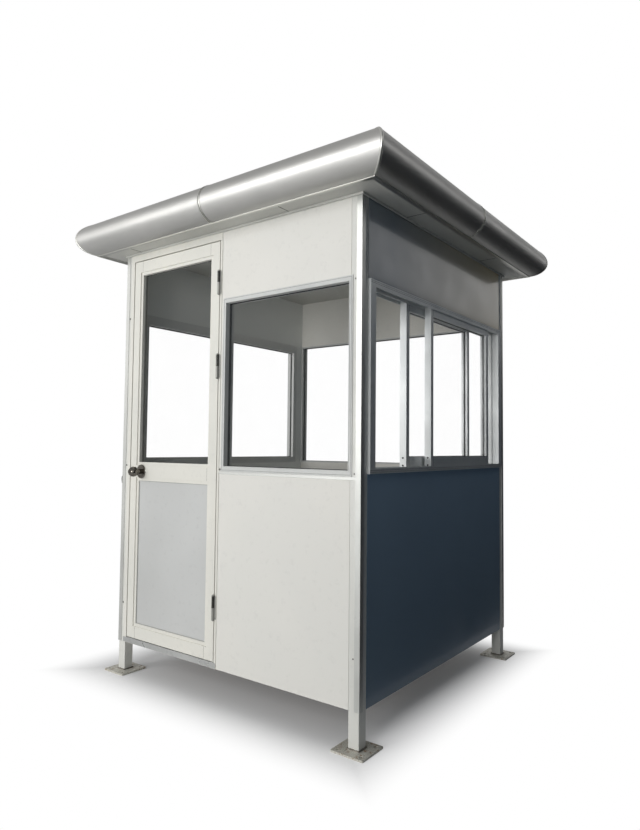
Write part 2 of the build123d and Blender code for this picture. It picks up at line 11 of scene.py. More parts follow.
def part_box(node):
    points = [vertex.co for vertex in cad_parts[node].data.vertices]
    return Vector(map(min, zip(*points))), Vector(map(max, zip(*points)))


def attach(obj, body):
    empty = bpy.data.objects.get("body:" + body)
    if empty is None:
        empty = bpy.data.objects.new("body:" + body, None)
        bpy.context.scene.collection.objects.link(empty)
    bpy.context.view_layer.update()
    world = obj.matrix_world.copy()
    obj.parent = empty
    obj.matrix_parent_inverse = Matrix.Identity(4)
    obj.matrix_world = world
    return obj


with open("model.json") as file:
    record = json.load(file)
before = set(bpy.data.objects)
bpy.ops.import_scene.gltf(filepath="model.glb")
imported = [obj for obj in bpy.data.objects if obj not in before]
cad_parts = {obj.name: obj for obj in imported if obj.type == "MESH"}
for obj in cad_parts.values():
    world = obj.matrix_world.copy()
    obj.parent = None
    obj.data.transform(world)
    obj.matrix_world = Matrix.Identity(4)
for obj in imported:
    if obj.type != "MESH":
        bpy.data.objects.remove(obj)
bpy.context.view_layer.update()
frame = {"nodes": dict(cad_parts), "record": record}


# ---------------------------------------------------------------- finishes


def feed(links, socket, source):
    """Links an output to a socket, or sets the socket to a number."""
    if isinstance(source, bpy.types.NodeSocket):
        links.new(source, socket)
    else:
        socket.default_value = source


def math_node(nodes, links, operation, first, second=0.0):
    """Two numbers or outputs, joined by a Math node."""
    node = nodes.new("ShaderNodeMath")
    node.operation = operation
    feed(links, node.inputs[0], first)
    feed(links, node.inputs[1], second)
    return node.outputs["Value"]


class Finish:
    """One procedural material, built round its Principled shader."""

    def __init__(self, name, metallic=0.0, specular=0.5, coat=0.0, coat_roughness=0.1):
        self.material = bpy.data.materials.new(name)
        self.material.use_nodes = True
        self.nodes = self.material.node_tree.nodes
        self.links = self.material.node_tree.links
        self.shader = self.nodes["Principled BSDF"]
        self.shader.inputs["Metallic"].default_value = metallic
        self.shader.inputs["Specular IOR Level"].default_value = specular
        self.shader.inputs["Coat Weight"].default_value = coat
        self.shader.inputs["Coat Roughness"].default_value = coat_roughness
        self.place = self.nodes.new("ShaderNodeTexCoord").outputs["Object"]

    def stretched(self, scale):
        """The object's own coordinates, scaled along each axis."""
        mapping = self.nodes.new("ShaderNodeMapping")
        mapping.inputs["Scale"].default_value = scale
        self.links.new(self.place, mapping.inputs["Vector"])
        return mapping.outputs["Vector"]

    def noise(self, scale, detail=3.0, roughness=0.5, stretch=(1, 1, 1)):
        """A grey noise, `scale` features to the metre."""
        noise = self.nodes.new("ShaderNodeTexNoise")
        noise.inputs["Scale"].default_value = scale
        noise.inputs["Detail"].default_value = detail
        noise.inputs["Roughness"].default_value = roughness
        self.links.new(self.stretched(stretch), noise.inputs["Vector"])
        return noise.outputs["Fac"]

    def ramp(self, value, low, high, start=0.35, end=0.65):
        """`value` from start to end, turned into a number from low to high."""
        span = self.nodes.new("ShaderNodeMapRange")
        span.inputs["From Min"].default_value = start
        span.inputs["From Max"].default_value = end
        span.inputs["To Min"].default_value = low
        span.inputs["To Max"].default_value = high
        self.links.new(value, span.inputs["Value"])
        return span.outputs["Result"]

    def coordinate(self, axis):
        """The place along one axis, in metres."""
        split = self.nodes.new("ShaderNodeSeparateXYZ")
        self.links.new(self.place, split.inputs["Vector"])
        return split.outputs[axis]

    def along(self, axis, start, end):
        """A number that runs from 0 to 1 between two places on an axis."""
        return self.ramp(self.coordinate(axis), 0.0, 1.0, start, end)

    def mix(self, amount, first, second):
        """first where amount is 0, second where it is 1; each a colour or an output."""
        mix = self.nodes.new("ShaderNodeMix")
        mix.data_type = "RGBA"
        self.links.new(amount, mix.inputs["Factor"])
        for index, source in ((6, first), (7, second)):
            if isinstance(source, tuple):
                source = (*source, 1.0)
            feed(self.links, mix.inputs[index], source)
        return mix.outputs[2]

    def math(self, operation, first, second=0.0):
        return math_node(self.nodes, self.links, operation, first, second)

    def colour(self, source):
        self.links.new(source, self.shader.inputs["Base Color"])

    def roughness(self, source):
        self.links.new(source, self.shader.inputs["Roughness"])

    def bump(self, height, strength, distance=0.001):
        bump = self.nodes.new("ShaderNodeBump")
        bump.inputs["Strength"].default_value = strength
        bump.inputs["Distance"].default_value = distance
        self.links.new(height, bump.inputs["Height"])
        self.links.new(bump.outputs["Normal"], self.shader.inputs["Normal"])


def srgb(red, green, blue):
    """A screen colour of 0 to 255 as the linear colour that shaders take."""
    return tuple(
        c / 255 / 12.92 if c <= 10 else ((c / 255 + 0.055) / 1.055) ** 2.4
        for c in (red, green, blue)
    )


def coated(name, light, dark, rough=(0.35, 0.5), orange_peel=0.08, **shader):
    """Coated sheet: a slow drift of colour, faint grime and an orange-peel bump."""
    finish = Finish(name, **shader)
    drift = finish.ramp(finish.noise(1.4, 2.0), 0.0, 1.0)
    grime = finish.ramp(finish.noise(38.0, 5.0, 0.6), 0.0, 0.35, 0.56, 0.78)
    base = finish.mix(drift, light, dark)
    finish.colour(finish.mix(grime, base, tuple(c * 0.82 for c in dark)))
    finish.roughness(finish.ramp(finish.noise(9.0, 4.0), *rough))
    finish.bump(finish.noise(420.0, 2.0), orange_peel)
    return finish.material


def brushed(name, light, dark, stretch, rough=(0.22, 0.4), strength=0.12, **shader):
    """Metal drawn along one direction: long streaks in colour, gloss and bump."""
    finish = Finish(name, metallic=1.0, **shader)
    streaks = finish.noise(60.0, 4.0, 0.6, stretch)
    finish.colour(finish.mix(finish.ramp(streaks, 0.0, 1.0, 0.3, 0.7), dark, light))
    finish.roughness(finish.ramp(finish.noise(25.0, 3.0, 0.5, stretch), *rough))
    finish.bump(finish.noise(160.0, 3.0, 0.6, stretch), strength)
    return finish.material


def satin(name, light, dark, rough=(0.27, 0.33), **shader):
    """Rolled metal sheet with an even satin gloss and only faint clouding."""
    finish = Finish(name, metallic=1.0, **shader)
    cloud = finish.ramp(finish.noise(2.5, 3.0), 0.0, 1.0)
    spots = finish.ramp(finish.noise(90.0, 4.0, 0.7), 0.0, 0.3, 0.66, 0.8)
    base = finish.mix(cloud, light, dark)
    finish.colour(finish.mix(spots, base, tuple(c * 0.7 for c in dark)))
    finish.roughness(finish.ramp(finish.noise(5.0, 4.0), *rough))
    finish.bump(finish.noise(3.0, 2.0), 0.02, 0.01)
    return finish.material


def glazing():
    """Clear float glass, clearer face on than at a slant, with faint dust."""
    finish = Finish("float_glass", specular=0.5)
    finish.shader.inputs["Base Color"].default_value = (*srgb(150, 164, 162), 1.0)
    finish.roughness(finish.ramp(finish.noise(14.0, 4.0), 0.01, 0.05))
    slant = finish.nodes.new("ShaderNodeLayerWeight")
    slant.inputs["Blend"].default_value = 0.35
    dust = finish.ramp(finish.noise(7.0, 6.0, 0.7), 0.0, 0.006)
    glare = finish.ramp(slant.outputs["Facing"], 0.0, 0.3, 0.55, 1.0)
    finish.links.new(finish.math("ADD", glare, dust), finish.shader.inputs["Alpha"])
    return finish.material


def galvanised():
    """Dull zinc with spangle, scratches and rust that has come through."""
    finish = Finish("galvanised_steel", metallic=0.2, specular=0.4)
    spangle = finish.nodes.new("ShaderNodeTexVoronoi")
    spangle.inputs["Scale"].default_value = 190.0
    finish.links.new(finish.place, spangle.inputs["Vector"])
    grains = finish.ramp(spangle.outputs["Distance"], 0.0, 1.0, 0.1, 0.8)
    zinc = finish.mix(grains, srgb(222, 220, 210), srgb(186, 184, 174))
    rust = finish.ramp(finish.noise(60.0, 6.0, 0.7), 0.0, 1.0, 0.55, 0.66)
    scratch = finish.ramp(finish.noise(120.0, 2.0, 0.5, (1, 0.06, 1)), 0.0, 0.7, 0.66, 0.72)
    worn = finish.mix(rust, zinc, srgb(150, 122, 92))
    finish.colour(finish.mix(scratch, worn, srgb(70, 66, 60)))
    finish.roughness(finish.ramp(finish.noise(80.0, 4.0), 0.4, 0.75))
    finish.bump(finish.noise(230.0, 4.0), 0.3)
    return finish.material


def side_skin_painted_reflection(name, bottom, middle, near, far):
    """Glossy coated steel: slate blue below the window and grey over it outside,
    light grey inside the room. The blue runs from bottom to middle up the wall, lighter upward,
    and the grey from near to far along it, warming to beige: both runs are painted reflection."""
    finish = Finish(name, specular=0.5, coat=0.35, coat_roughness=0.06)
    drift = finish.ramp(finish.noise(1.1, 2.0), 0.0, 0.4)
    # Painted reflection: the blue lightens from the foot of the wall up to the window
    low = finish.mix(finish.along("Z", 0.15, 1.05), bottom, middle)
    # Painted reflection: the grey over the window warms from near to far along the wall
    high = finish.mix(finish.along("Y", -0.5, 0.7), near, far)
    outside = finish.mix(finish.along("Z", 1.4, 1.5), low, high)
    outside = finish.mix(finish.math("MULTIPLY", drift, 0.3), outside, bottom)
    inside = finish.mix(drift, srgb(230, 232, 229), srgb(218, 220, 217))
    depth = finish.math("ABSOLUTE", finish.coordinate("X"))
    finish.colour(finish.mix(finish.ramp(depth, 0.0, 1.0, 0.72, 0.722), inside, outside))
    finish.roughness(finish.ramp(finish.noise(6.0, 3.0), 0.16, 0.26))
    finish.bump(finish.noise(300.0, 2.0), 0.05)
    return finish.material


def board():
    """Sealed floor board: long streaks of grain, darker knots, scuffs."""
    finish = Finish("sealed_board", specular=0.35)
    grain = finish.noise(70.0, 5.0, 0.65, (1, 0.05, 1))
    wood = finish.mix(finish.ramp(grain, 0.0, 1.0), srgb(132, 116, 98), srgb(98, 84, 68))
    scuff = finish.ramp(finish.noise(11.0, 5.0, 0.7), 0.0, 0.5, 0.55, 0.7)
    finish.colour(finish.mix(scuff, wood, srgb(150, 142, 130)))
    finish.roughness(finish.ramp(finish.noise(30.0, 4.0), 0.45, 0.65))
    finish.bump(grain, 0.2)
    return finish.material


FINISHES = {
    "galvanised_plate": galvanised(),
    "post_paint": coated("post_paint", srgb(226, 226, 220), srgb(210, 210, 204), (0.4, 0.55), 0.15),
    "trim_aluminium": coated(
        "trim_coat", srgb(208, 209, 205), srgb(198, 199, 195), (0.34, 0.44), 0.05, metallic=0.75
    ),
    # Lighter than it looks, because this wall stands in shade: the shaded copy of the slate blue
    # skin, whose runs up and along the wall are painted reflection
    "side_panel": side_skin_painted_reflection(
        "slate_blue_shaded_copy_painted_reflection",
        bottom=srgb(108, 127, 144),
        middle=srgb(160, 184, 206),
        near=srgb(148, 155, 161),
        far=srgb(255, 236, 196),
    ),
    "front_panel": coated(
        "front_skin", srgb(228, 226, 219), srgb(224, 223, 217), (0.4, 0.46), 0.05
    ),
    "roof_panel": coated("roof_skin", srgb(208, 208, 202), srgb(192, 192, 186), (0.45, 0.6), 0.08),
    "eave_aluminium": satin("satin_silver", srgb(206, 205, 202), srgb(195, 195, 192), (0.42, 0.48)),
    "glass": glazing(),
    "door_paint": coated("door_coat", srgb(229, 227, 218), srgb(221, 220, 212), (0.3, 0.42), 0.06),
    "door_panel": coated("door_skin", srgb(202, 203, 201), srgb(190, 191, 189), (0.35, 0.45), 0.05),
    "hinge_steel": coated(
        "hinge_steel", srgb(176, 176, 170), srgb(132, 132, 127), (0.3, 0.45), 0.2, metallic=0.35
    ),
    "knob_steel": brushed(
        "knob_steel", srgb(136, 132, 124), srgb(92, 88, 82), (1, 1, 1), (0.08, 0.16), 0.02
    ),
    "floor_board": board(),
    "floor_steel": coated("primed_steel", srgb(110, 112, 114), srgb(92, 94, 96), (0.5, 0.65), 0.15),
    "window_aluminium": coated(
        "window_coat", srgb(212, 213, 210), srgb(198, 200, 198), (0.45, 0.6), 0.05
    ),
}
WINDOW_COAT = FINISHES["window_aluminium"]
# Lighter copy of the window coat for the sliding window in the shaded right wall: the extra
# lightness is painted light on its sash edges
SIDE_FRAME_LIGHTENED_COPY = coated(
    "side_frame_lightened_copy", srgb(234, 236, 235), srgb(222, 225, 225), (0.36, 0.46), 0.05, metallic=0.35
)
DARK_HINGE = brushed("hinge_upper", srgb(84, 84, 81), srgb(52, 52, 50), (1, 1, 0.2))
# Lit copy of the slate blue skin for the left wall, written darker so that it shows the shaded
# right wall's look; its runs up and along the wall are painted reflection too
LIT_LEFT_COPY_SKIN = side_skin_painted_reflection(
    "slate_blue_lit_copy_painted_reflection",
    bottom=srgb(38, 54, 74),
    middle=srgb(54, 72, 94),
    near=srgb(108, 113, 116),
    far=srgb(136, 134, 126),
)
# Black rubber for the gaskets; on the keyhole and the sash screws the same black is painted shade
# of holes
RUBBER_AND_HOLE_SHADE = coated("rubber_and_painted_hole_shade", srgb(34, 36, 38), srgb(24, 25, 27), (0.6, 0.8), 0.2)
VINYL = coated("vinyl", srgb(176, 177, 173), srgb(158, 159, 156), (0.5, 0.65), 0.1)
JOINT = coated("joint_shadow", srgb(112, 112, 106), srgb(92, 92, 88), (0.6, 0.8), 0.1)
SCREW = brushed("screw_zinc", srgb(150, 150, 146), srgb(96, 96, 92), (1, 1, 1), (0.3, 0.5))
SEAM_TRIM = satin("seam_trim", srgb(222, 222, 216), srgb(206, 206, 200), (0.3, 0.4))
THRESHOLD = coated(
    "threshold", srgb(196, 197, 195), srgb(168, 169, 167), (0.26, 0.4), 0.1, metallic=0.5
)
WING = coated("hinge_wing", srgb(196, 196, 190), srgb(170, 170, 165), (0.4, 0.55), 0.1)
WELD = brushed("weld", srgb(150, 146, 138), srgb(104, 98, 90), (1, 1, 1), (0.4, 0.6), 0.3)

# Nodes whose finish isn't the usual one of their slot
OWN_FINISH = {
    "left_wall": LIT_LEFT_COPY_SKIN,
    "right_window_frame": SIDE_FRAME_LIGHTENED_COPY,
    "right_outer_sash": SIDE_FRAME_LIGHTENED_COPY,
    "right_inner_sash": SIDE_FRAME_LIGHTENED_COPY,
    "hinge_top_door_leaf": DARK_HINGE,
    "hinge_middle_door_leaf": DARK_HINGE,
    "hinge_bottom_door_leaf": DARK_HINGE,
}
for part in frame["record"]["subparts"]:
    slots = frame["nodes"][part["node"]].data.materials
    slots.clear()
    slots.append(OWN_FINISH.get(part["node"], FINISHES[part["material_slot"]]))


# ------------------------------------------------------------ small fittings


def add_piece(name, bm, finish, body="booth", bevel=0.0):
    """A finished mesh as a piece that rides on a body."""
    bmesh.ops.recalc_face_normals(bm, faces=bm.faces)
    mesh = bpy.data.meshes.new(name)
    bm.to_mesh(mesh)
    bm.free()
    mesh.materials.append(finish)
    piece = bpy.data.objects.new(name, mesh)
    bpy.context.scene.collection.objects.link(piece)
    if bevel:
        edge = piece.modifiers.new("edge", "BEVEL")
        edge.width = bevel
        edge.segments = 2
        edge.limit_method = "ANGLE"
    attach(piece, body)
    return piece


def shade_smooth(piece):
    for face in piece.data.polygons:
        face.use_smooth = True


BOX_FACES = (0, 1, 3, 2), (4, 6, 7, 5), (0, 4, 5, 1), (2, 3, 7, 6), (0, 2, 6, 4), (1, 5, 7, 3)


def add_box(bm, low, high):
    """A box from its lowest to its highest corner."""
    corners = [
        bm.verts.new([(low, high)[(i >> axis) & 1][axis] for axis in range(3)]) for i in range(8)
    ]
    for loop in BOX_FACES:
        bm.faces.new([corners[i] for i in loop])


def add_ring(bm, low, high, width, normal):
    """A flat frame between two corners; normal is the axis (0, 1, 2) it faces along."""
    across, upward = [axis for axis in range(3) if axis != normal]
    rows = []
    for depth in (low[normal], high[normal]):
        for inset in (0.0, width):
            row = []
            for side_a, side_b in ((0, 0), (1, 0), (1, 1), (0, 1)):
                point = [0.0, 0.0, 0.0]
                point[normal] = depth
                point[across] = (low[across] + inset, high[across] - inset)[side_a]
                point[upward] = (low[upward] + inset, high[upward] - inset)[side_b]
                row.append(bm.verts.new(point))
            rows.append(row)
    outer_back, inner_back, outer_front, inner_front = rows
    for first, second in (
        (outer_back, inner_back),
        (outer_front, inner_front),
        (outer_back, outer_front),
        (inner_back, inner_front),
    ):
        for i in range(4):
            j = (i + 1) % 4
            bm.faces.new((first[i], first[j], second[j], second[i]))


def add_lathe(bm, profile, centre, axis, segments=20):
    """A profile of (radius, height) pairs, turned about an axis through centre."""
    turn = Vector(axis).to_track_quat("Z", "Y").to_matrix()
    rows = []
    for radius, height in profile:
        ring = []
        for i in range(segments):
            angle = 2 * math.pi * i / segments
            point = Vector((radius * math.cos(angle), radius * math.sin(angle), height))
            ring.append(bm.verts.new(turn @ point + Vector(centre)))
        rows.append(ring)
    for lower, upper in zip(rows, rows[1:]):
        for i in range(segments):
            j = (i + 1) % segments
            bm.faces.new((lower[i], lower[j], upper[j], upper[i]))
    bm.faces.new(rows[0])
    bm.faces.new(rows[-1])


def add_screw(bm, centre, axis, radius=0.004):
    """A pan head with a recess in the middle."""
    add_lathe(
        bm,
        [
            (radius, 0.0),
            (radius, 0.15 * radius),
            (0.85 * radius, 0.45 * radius),
            (0.45 * radius, 0.6 * radius),
            (0.38 * radius, 0.2 * radius),
        ],
        centre,
        axis,
        14,
    )


def add_strip(bm, lines):
    """A sheet between two or more rows of points that run side by side."""
    rows = [[bm.verts.new(point) for point in line] for line in lines]
    for first, second in zip(rows, rows[1:]):
        for i in range(len(first) - 1):
            bm.faces.new((first[i], first[i + 1], second[i + 1], second[i]))


def add_gasket(name, node, bite, width, depth, body="booth", finish=RUBBER_AND_HOLE_SHADE):
    """A gasket round a pane, on both its faces, from where it leaves its frame.
    The pane goes `bite` into the frame, across and upward."""
    low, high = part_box(node)
    normal = min(range(3), key=lambda axis: high[axis] - low[axis])
    across, upward = [axis for axis in range(3) if axis != normal]
    bm = bmesh.new()
    for face, sign in ((low[normal], -1), (high[normal], 1)):
        ring_low, ring_high = low.copy(), high.copy()
        ring_low[normal], ring_high[normal] = sorted((face + sign * CLEAR, face + sign * depth))
        for axis, reach in ((across, bite[0]), (upward, bite[1])):
            ring_low[axis] += reach
            ring_high[axis] -= reach
        add_ring(bm, ring_low, ring_high, width, normal)
    add_piece(name, bm, finish, body, 0.0006)


CLEAR = 0.0001  # gap between a pane and its gasket
FULL_BITE = (0.008, 0.008)
# The axis that each fixed window faces along, which way, and its pane's bite
FIXED_WINDOWS = {
    "front": (1, -1, (0.004, 0.0065)),
    "back": (1, 1, (0.003, 0.004)),
    "left": (0, -1, FULL_BITE),
}
for place, (_, _, bite) in FIXED_WINDOWS.items():
    add_gasket(f"{place}_window_gasket", f"{place}_window_glass", bite, 0.0025, 0.0025)
add_gasket("door_glass_gasket", "door_glass", FULL_BITE, 0.0015, 0.002, "door")
add_gasket("door_panel_gasket", "door_panel", FULL_BITE, 0.003, 0.002, "door", VINYL)
for place in ("outer", "inner"):
    add_gasket(f"{place}_pane_gasket", f"right_{place}_pane", FULL_BITE, 0.0015, 0.002)

LINE_PROUD = 0.0002  # how far a drawn joint stands out of the face it lies in
LINE_HALF = 0.0005  # half its width

# Lines of the fixed windows' frames: a bead round the opening, and the joint
# of the cover that clips on outside it
for place, (normal, outward, bite) in FIXED_WINDOWS.items():
    frame_low, frame_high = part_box(f"{place}_window_frame")
    glass_low, glass_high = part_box(f"{place}_window_glass")
    across = 1 - normal
    face = (frame_low if outward < 0 else frame_high)[normal]
    for kind, width, proud, finish in (
        ("bead", 0.0035, 0.0014, WINDOW_COAT),
        ("joint", 0.0012, LINE_PROUD, JOINT),
    ):
        low, high = frame_low.copy(), frame_high.copy()
        low[normal], high[normal] = sorted((face - outward * 0.0005, face + outward * proud))
        if kind == "bead":
            for axis, reach in ((across, bite[0]), (2, bite[1])):
                low[axis] = glass_low[axis] + reach - width - 0.0004
                high[axis] = glass_high[axis] - reach + width + 0.0004
        else:
            for axis in (across, 2):
                low[axis] += 0.005
                high[axis] -= 0.005
        bm = bmesh.new()
        add_ring(bm, low, high, width, normal)
        add_piece(f"{place}_window_{kind}", bm, finish, bevel=0.0004 if kind == "bead" else 0.0)

# Door seams, where the rails butt against the full-height stiles
DOOR_STILE, DOOR_END_RAIL = 0.062, 0.056
LOCK_RAIL = (1.0, 1.062)
leaf_low, leaf_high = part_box("door_frame")
door_face = leaf_low.y
bm = bmesh.new()
for seam_x in (leaf_low.x + DOOR_STILE, leaf_high.x - DOOR_STILE):
    for bottom, top in (
        (leaf_low.z, leaf_low.z + DOOR_END_RAIL),
        LOCK_RAIL,
        (leaf_high.z - DOOR_END_RAIL, leaf_high.z),
    ):
        add_box(
            bm,
            (seam_x - LINE_HALF, door_face - LINE_PROUD, bottom),
            (seam_x + LINE_HALF, door_face + 0.001, top),
        )
add_piece("door_seams", bm, JOINT, "door")

# Threshold cover: a folded strip over the bottom of the surround, with a
# face in front, a tread and four ribs on it
surround_low, surround_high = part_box("door_surround")
face, sill = surround_low.y, surround_low.z
tread_start, tread_end = -0.687, surround_high.x - 0.011
bm = bmesh.new()
add_box(bm, (surround_low.x, face - 0.0012, sill + 0.001), (surround_high.x, face, sill + 0.0262))
add_box(bm, (tread_start, face - 0.0012, sill + 0.0258), (tread_end, face + 0.045, sill + 0.027))
for rib in range(4):
    rib_y = face + 0.008 + 0.009 * rib
    add_box(bm, (tread_start, rib_y, sill + 0.0265), (tread_end, rib_y + 0.003, sill + 0.0278))
add_piece("threshold_cover", bm, THRESHOLD, bevel=0.0003)

# Trim strip under the front window, and the screws of the front
FRONT, BACK, UP, DOWN = (0, -1, 0), (0, 1, 0), (0, 0, 1), (0, 0, -1)
wall_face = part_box("front_lower_panel")[0].y
strip_end = 0.725
bm = bmesh.new()
add_box(bm, (surround_high.x, wall_face - 0.002, 1.036), (strip_end, wall_face, 1.049))
add_box(bm, (surround_high.x, wall_face - 0.003, 1.0475), (strip_end, wall_face, 1.0495))
add_piece("front_sill_trim", bm, FINISHES["trim_aluminium"], bevel=0.0004)
post_screw_x, post_screw_y = 0.718, -0.7472
bm = bmesh.new()
add_screw(bm, (-0.025, wall_face - 0.0005, 1.0575), FRONT, 0.005)
for screw_z in (0.35, 1.0606, 1.8353):
    add_screw(bm, (-post_screw_x, post_screw_y, screw_z), FRONT, 0.0045)
    add_screw(bm, (post_screw_x, post_screw_y, screw_z), FRONT, 0.0035)
add_piece("front_screws", bm, SCREW)

# Dark screws at the foot of each sash's edges: their black heads are painted shade of the screw
# holes
bm = bmesh.new()
for place in ("outer", "inner"):
    low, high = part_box(f"right_{place}_sash")
    middle = (low.x + high.x) / 2
    for edge_y, outward in ((low.y, FRONT), (high.y, BACK)):
        for rise in (0.016, 0.05):
            add_screw(bm, (middle, edge_y, low.z + rise), outward, 0.0042)
add_piece("sash_screws_painted_hole_shade", bm, RUBBER_AND_HOLE_SHADE)

# Ribs that carry the tracks up both jambs of the sliding window
JAMB, RIB_THICK, RIB_PROUD = 0.034, 0.004, 0.006
low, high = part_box("right_window_frame")
bm = bmesh.new()
for rib_x in (low.x, (low.x + high.x - RIB_THICK) / 2, high.x - RIB_THICK):
    for jamb_y, reach in ((low.y + JAMB, RIB_PROUD), (high.y - JAMB, -RIB_PROUD)):
        start, end = sorted((jamb_y, jamb_y + reach))
        add_box(bm, (rib_x, start, low.z + 0.022), (rib_x + RIB_THICK, end, high.z - 0.028))
add_piece("jamb_ribs", bm, SIDE_FRAME_LIGHTENED_COPY, bevel=0.0004)

# Lines of the sliding window: two along its sill and head, and the seams
# where each sash's rails meet its stiles
SLIM_STILE, WIDE_STILE = 0.024, 0.028
SASH_BOTTOM_RAIL, SASH_TOP_RAIL = 0.056, 0.042
bm = bmesh.new()
for line_z in (low.z + 0.0065, low.z + 0.014, high.z - 0.0135, high.z - 0.0065):
    add_box(
        bm,
        (high.x - 0.001, low.y, line_z - LINE_HALF),
        (high.x + LINE_PROUD, high.y, line_z + LINE_HALF),
    )
for place, front_stile, back_stile in (
    ("outer", SLIM_STILE, WIDE_STILE),
    ("inner", WIDE_STILE, SLIM_STILE),
):
    low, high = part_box(f"right_{place}_sash")
    for seam_y in (low.y + front_stile, high.y - back_stile):
        for bottom, top in (
            (low.z, low.z + SASH_BOTTOM_RAIL),
            (high.z - SASH_TOP_RAIL, high.z),
        ):
            add_box(
                bm,
                (high.x - 0.001, seam_y - LINE_HALF, bottom),
                (high.x + LINE_PROUD, seam_y + LINE_HALF, top),
            )
add_piece("sliding_window_lines", bm, JOINT)

# Eave: half ellipses of the section, as the CAD has them
EAVE_WIDE, EAVE_HIGH = 0.111, 0.090
eave_low, eave_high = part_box("eave_front")
eave_x, eave_y = eave_high.x, -eave_low.y
eave_z = eave_high.z - EAVE_HIGH
EAVE_FOOT = math.asin((eave_z - eave_low.z) / EAVE_HIGH)


def eave_arc(proud, count=26):
    """(reach inwards, height) along the section, from the lip up to the top."""
    for i in range(count + 1):
        angle = -EAVE_FOOT + (math.pi / 2 + EAVE_FOOT) * i / count
        yield (
            EAVE_WIDE - (EAVE_WIDE + proud) * math.cos(angle),
            eave_z + (EAVE_HIGH + proud) * math.sin(angle),
        )


def add_sheet_piece(name, lines, finish, thick=0.0008):
    """Thin strips on the eave, each a list of rows of points."""
    bm = bmesh.new()
    for group in lines:
        add_strip(bm, group)
    piece = add_piece(name, bm, finish)
    sheet = piece.modifiers.new("sheet", "SOLIDIFY")
    sheet.thickness = thick
    sheet.offset = 0
    shade_smooth(piece)


# Mitre strips over the four corners of the eave
MITRE_WIDE, RIDGE = 0.009, 0.0002
mitres = []
for side_x in (1, -1):
    for side_y in (1, -1):
        edge_a, ridge, edge_b = [], [], []
        for reach, height in eave_arc(0.0009):
            x, y = eave_x - reach, eave_y - reach
            edge_a.append((side_x * (x - MITRE_WIDE), side_y * y, height))
            ridge.append((side_x * (x + RIDGE), side_y * (y + RIDGE), height))
            edge_b.append((side_x * x, side_y * (y - MITRE_WIDE), height))
        mitres.append((edge_a, ridge, edge_b))
add_sheet_piece("eave_mitre_strips", mitres, SEAM_TRIM)


def eave_band(side, sign, half, proud):
    """Two rows round the section, half a width either side of a side's middle."""
    if side == "x":
        return [
            [(sign * (eave_x - reach), offset, height) for reach, height in eave_arc(proud)]
            for offset in (-half, half)
        ]
    return [
        [(offset, sign * (eave_y - reach), height) for reach, height in eave_arc(proud)]
        for offset in (-half, half)
    ]


# Joint strips halfway along each side, with a dark line in their middle
sides = [(side, sign) for side in ("x", "y") for sign in (1, -1)]
strips = [eave_band(side, sign, half=0.0065, proud=0.0012) for side, sign in sides]
grooves = [eave_band(side, sign, half=0.0012, proud=0.0019) for side, sign in sides]
add_sheet_piece("eave_joint_strips", strips, SEAM_TRIM)
add_sheet_piece("eave_joint_lines", grooves, JOINT, 0.0003)

# Lip strip where the eave turns under the soffit
panel_low, panel_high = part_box("roof_panel")
LIP_REACH = 0.004
lip_z = eave_low.z
bm = bmesh.new()
add_ring(
    bm,
    (panel_low.x - LIP_REACH, panel_low.y - LIP_REACH, lip_z - 0.003),
    (panel_high.x + LIP_REACH, panel_high.y + LIP_REACH, lip_z),
    0.010,
    2,
)
add_piece("eave_lip_strip", bm, SEAM_TRIM, bevel=0.0008)

# Joints of the soffit, from the wall out to the eave's lip
JOINT_HALF, WALL = 0.002, 0.75
soffit = panel_low.z
joint_low, joint_high = soffit - 0.0006, soffit + 0.0005
lip_x, lip_y = panel_high.x - 0.022, panel_high.y - 0.022
bm = bmesh.new()
for sign in (1, -1):
    for joint_x in (-0.625, 0.375):
        start, end = sorted((sign * WALL, sign * lip_y))
        add_box(
            bm, (joint_x - JOINT_HALF, start, joint_low), (joint_x + JOINT_HALF, end, joint_high)
        )
    for joint_y in (-0.4, 0.4):
        start, end = sorted((sign * WALL, sign * lip_x))
        add_box(
            bm, (start, joint_y - JOINT_HALF, joint_low), (end, joint_y + JOINT_HALF, joint_high)
        )
add_piece("soffit_joints", bm, JOINT)

# Trim where the wall meets the soffit
trim_reach = 0.758
bm = bmesh.new()
add_ring(
    bm, (-trim_reach, -trim_reach, soffit - 0.010), (trim_reach, trim_reach, soffit), 0.0078, 2
)
add_piece("soffit_wall_trim", bm, FINISHES["roof_panel"], bevel=0.002)

# Cover strips on top of the roof panel, each with a raised middle, and their
# screws
STRIPS, STRIP_END, STRIP_THICK = (-0.42, 0.0, 0.42), 0.8, 0.004
roof_top = panel_high.z
bm = bmesh.new()
for strip_x in STRIPS:
    for half, bottom, top in ((0.02, 0.0, STRIP_THICK), (0.006, 0.003, 0.009)):
        add_box(
            bm,
            (strip_x - half, -STRIP_END, roof_top + bottom),
            (strip_x + half, STRIP_END, roof_top + top),
        )
add_piece("roof_cover_strips", bm, FINISHES["roof_panel"], bevel=0.001)
bm = bmesh.new()
for strip_x in STRIPS:
    for screw_y in (-0.7, -0.35, 0.0, 0.35, 0.7):
        for offset in (-0.013, 0.013):
            add_screw(bm, (strip_x + offset, screw_y, roof_top + STRIP_THICK), UP)
add_piece("roof_screws", bm, SCREW)


